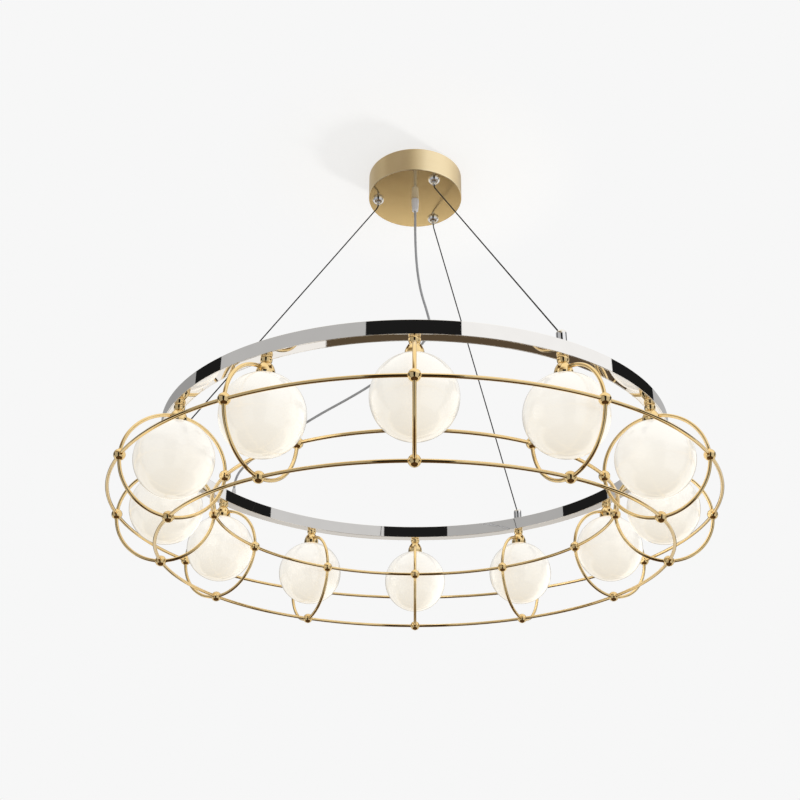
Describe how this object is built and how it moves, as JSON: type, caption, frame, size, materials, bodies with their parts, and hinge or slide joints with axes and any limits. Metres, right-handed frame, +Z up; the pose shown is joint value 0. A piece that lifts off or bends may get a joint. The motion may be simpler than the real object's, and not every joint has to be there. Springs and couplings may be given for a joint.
{
  "type": "orb chandelier",
  "caption": "Round pendant chandelier: opal globe lamps under a polished ring, in a cage of brass hoops and rings, hung from a canopy on three cables.",
  "frame": {"origin": "middle of the ceiling plate's top face", "axes": "+Z up into the ceiling; the lamps hang below, lamp 1 towards -Y"},
  "size_m": [1.0024, 1.0024, 0.7752],
  "materials": {
    "polished_brass": "polished",
    "satin_brass": "satin",
    "polished_steel": "polished",
    "chrome_fittings": "polished",
    "steel_rope": "satin",
    "opal_glass": "gloss",
    "white_plastic": "satin",
    "cord_jacket": "satin",
    "socket_ceramic": "matt",
    "bulb_glass": "gloss",
    "zinc_steel": "satin"
  },
  "bodies": {
    "root": {"bottom_joint_balls": "polished_brass", "bottom_ring_rods": "polished_brass", "cable_anchor_1": "chrome_fittings", "cable_anchor_2": "chrome_fittings", "cable_anchor_3": "chrome_fittings", "cable_end_balls": "chrome_fittings", "canopy_cord_sleeve": "white_plastic", "canopy_grub_screws": "zinc_steel", "canopy_shell": "satin_brass", "ceiling_plate": "zinc_steel", "cord_sleeve_nut": "white_plastic", "gripper_body_1": "chrome_fittings", "gripper_body_2": "chrome_fittings", "gripper_body_3": "chrome_fittings", "gripper_nuts": "zinc_steel", "gripper_spring_1": "zinc_steel", "gripper_spring_2": "zinc_steel", "gripper_spring_3": "zinc_steel", "inner_joint_balls": "polished_brass", "inner_ring_rods": "polished_brass", "lamp_bulbs": "bulb_glass", "lamp_collars": "polished_brass", "lamp_cups": "polished_brass", "lamp_nipples": "zinc_steel", "lamp_sockets": "socket_ceramic", "lower_inner_hoop_rods": "polished_brass", "lower_outer_hoop_rods": "polished_brass", "mains_tail": "cord_jacket", "outer_joint_balls": "polished_brass", "outer_ring_rods": "polished_brass", "power_cord": "cord_jacket", "ring_base_plate": "polished_steel", "ring_channel": "polished_steel", "ring_cord_sleeve": "white_plastic", "ring_cover_screws": "zinc_steel", "ring_nuts": "zinc_steel", "ring_wiring_loop": "cord_jacket", "suspension_cable_1": "steel_rope", "suspension_cable_2": "steel_rope", "suspension_cable_3": "steel_rope", "terminal_block": "socket_ceramic", "upper_inner_hoop_rods": "polished_brass", "upper_outer_hoop_rods": "polished_brass"},
    "globe_01": {"globe_01": "opal_glass"},
    "globe_02": {"globe_02": "opal_glass"},
    "globe_03": {"globe_03": "opal_glass"},
    "globe_04": {"globe_04": "opal_glass"},
    "globe_05": {"globe_05": "opal_glass"},
    "globe_06": {"globe_06": "opal_glass"},
    "globe_07": {"globe_07": "opal_glass"},
    "globe_08": {"globe_08": "opal_glass"},
    "globe_09": {"globe_09": "opal_glass"},
    "globe_10": {"globe_10": "opal_glass"},
    "globe_11": {"globe_11": "opal_glass"},
    "globe_12": {"globe_12": "opal_glass"},
    "gripper_plunger_1": {"gripper_plunger_1": "chrome_fittings"},
    "gripper_plunger_2": {"gripper_plunger_2": "chrome_fittings"},
    "gripper_plunger_3": {"gripper_plunger_3": "chrome_fittings"}
  },
  "joints": [
    {"name": "unscrew_globe_01", "type": "hinge", "parent": "root", "child": "globe_01", "pos_m": [0, -0.412, -0.6755], "axis": [0, 0, 1], "range_deg": [-720, 0]},
    {"name": "unscrew_globe_02", "type": "hinge", "parent": "root", "child": "globe_02", "pos_m": [0.206, -0.3568, -0.6755], "axis": [0, 0, 1], "range_deg": [-720, 0]},
    {"name": "unscrew_globe_03", "type": "hinge", "parent": "root", "child": "globe_03", "pos_m": [0.3568, -0.206, -0.6755], "axis": [0, 0, 1], "range_deg": [-720, 0]},
    {"name": "unscrew_globe_04", "type": "hinge", "parent": "root", "child": "globe_04", "pos_m": [0.412, 0, -0.6755], "axis": [0, 0, 1], "range_deg": [-720, 0]},
    {"name": "unscrew_globe_05", "type": "hinge", "parent": "root", "child": "globe_05", "pos_m": [0.3568, 0.206, -0.6755], "axis": [0, 0, 1], "range_deg": [-720, 0]},
    {"name": "unscrew_globe_06", "type": "hinge", "parent": "root", "child": "globe_06", "pos_m": [0.206, 0.3568, -0.6755], "axis": [0, 0, 1], "range_deg": [-720, 0]},
    {"name": "unscrew_globe_07", "type": "hinge", "parent": "root", "child": "globe_07", "pos_m": [0, 0.412, -0.6755], "axis": [0, 0, 1], "range_deg": [-720, 0]},
    {"name": "unscrew_globe_08", "type": "hinge", "parent": "root", "child": "globe_08", "pos_m": [-0.206, 0.3568, -0.6755], "axis": [0, 0, 1], "range_deg": [-720, 0]},
    {"name": "unscrew_globe_09", "type": "hinge", "parent": "root", "child": "globe_09", "pos_m": [-0.3568, 0.206, -0.6755], "axis": [0, 0, 1], "range_deg": [-720, 0]},
    {"name": "unscrew_globe_10", "type": "hinge", "parent": "root", "child": "globe_10", "pos_m": [-0.412, 0, -0.6755], "axis": [0, 0, 1], "range_deg": [-720, 0]},
    {"name": "unscrew_globe_11", "type": "hinge", "parent": "root", "child": "globe_11", "pos_m": [-0.3568, -0.206, -0.6755], "axis": [0, 0, 1], "range_deg": [-720, 0]},
    {"name": "unscrew_globe_12", "type": "hinge", "parent": "root", "child": "globe_12", "pos_m": [-0.206, -0.3568, -0.6755], "axis": [0, 0, 1], "range_deg": [-720, 0]},
    {"name": "press_gripper_plunger_1", "type": "slide", "parent": "root", "child": "gripper_plunger_1", "axis": [0, 0, 1], "range_m": [0, 0.002], "stiffness_N_per_m": 600, "springref_m": -0.003, "deforming": ["gripper_spring_1"]},
    {"name": "press_gripper_plunger_2", "type": "slide", "parent": "root", "child": "gripper_plunger_2", "axis": [0, 0, 1], "range_m": [0, 0.002], "stiffness_N_per_m": 600, "springref_m": -0.003, "deforming": ["gripper_spring_2"]},
    {"name": "press_gripper_plunger_3", "type": "slide", "parent": "root", "child": "gripper_plunger_3", "axis": [0, 0, 1], "range_m": [0, 0.002], "stiffness_N_per_m": 600, "springref_m": -0.003, "deforming": ["gripper_spring_3"]}
  ]
}
